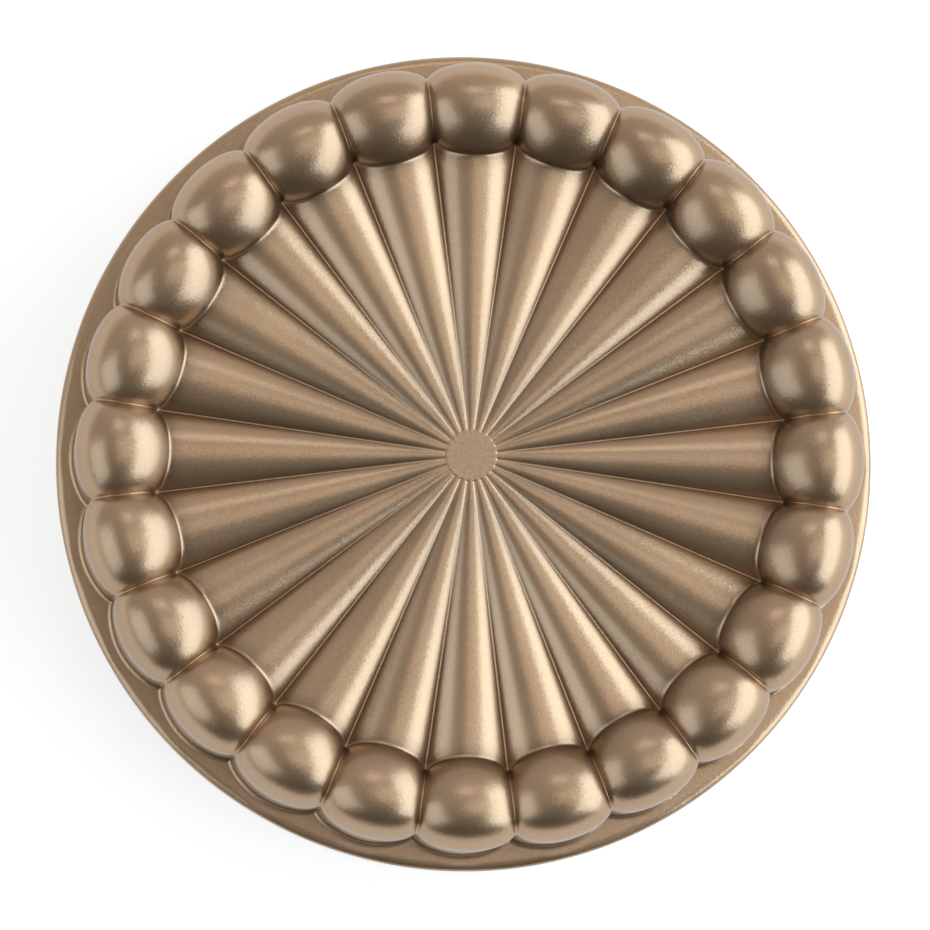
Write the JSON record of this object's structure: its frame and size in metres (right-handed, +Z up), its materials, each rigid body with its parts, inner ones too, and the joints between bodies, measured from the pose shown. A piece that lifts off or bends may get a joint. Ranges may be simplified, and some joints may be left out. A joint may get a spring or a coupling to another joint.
{
  "type": "charlotte mould",
  "caption": "Round cast charlotte mould, turned over: domed lobes stand round its wall, a fan of tapered flutes runs to a flat hub, and a narrow flat rim carries it.",
  "frame": {"origin": "centre of the rim's flat underside, on which the turned-over mould rests", "axes": "+Z up along the mould's axis, from the mouth to the domes; a lobe stands on +X and one on +Y"},
  "size_m": [0.245, 0.245, 0.051],
  "materials": {
    "coated_casting": "satin bronze-coloured non-stick coating with fine metal flake over cast aluminium"
  },
  "bodies": {
    "root": {"charlotte_mould": "coated_casting"}
  },
  "joints": []
}
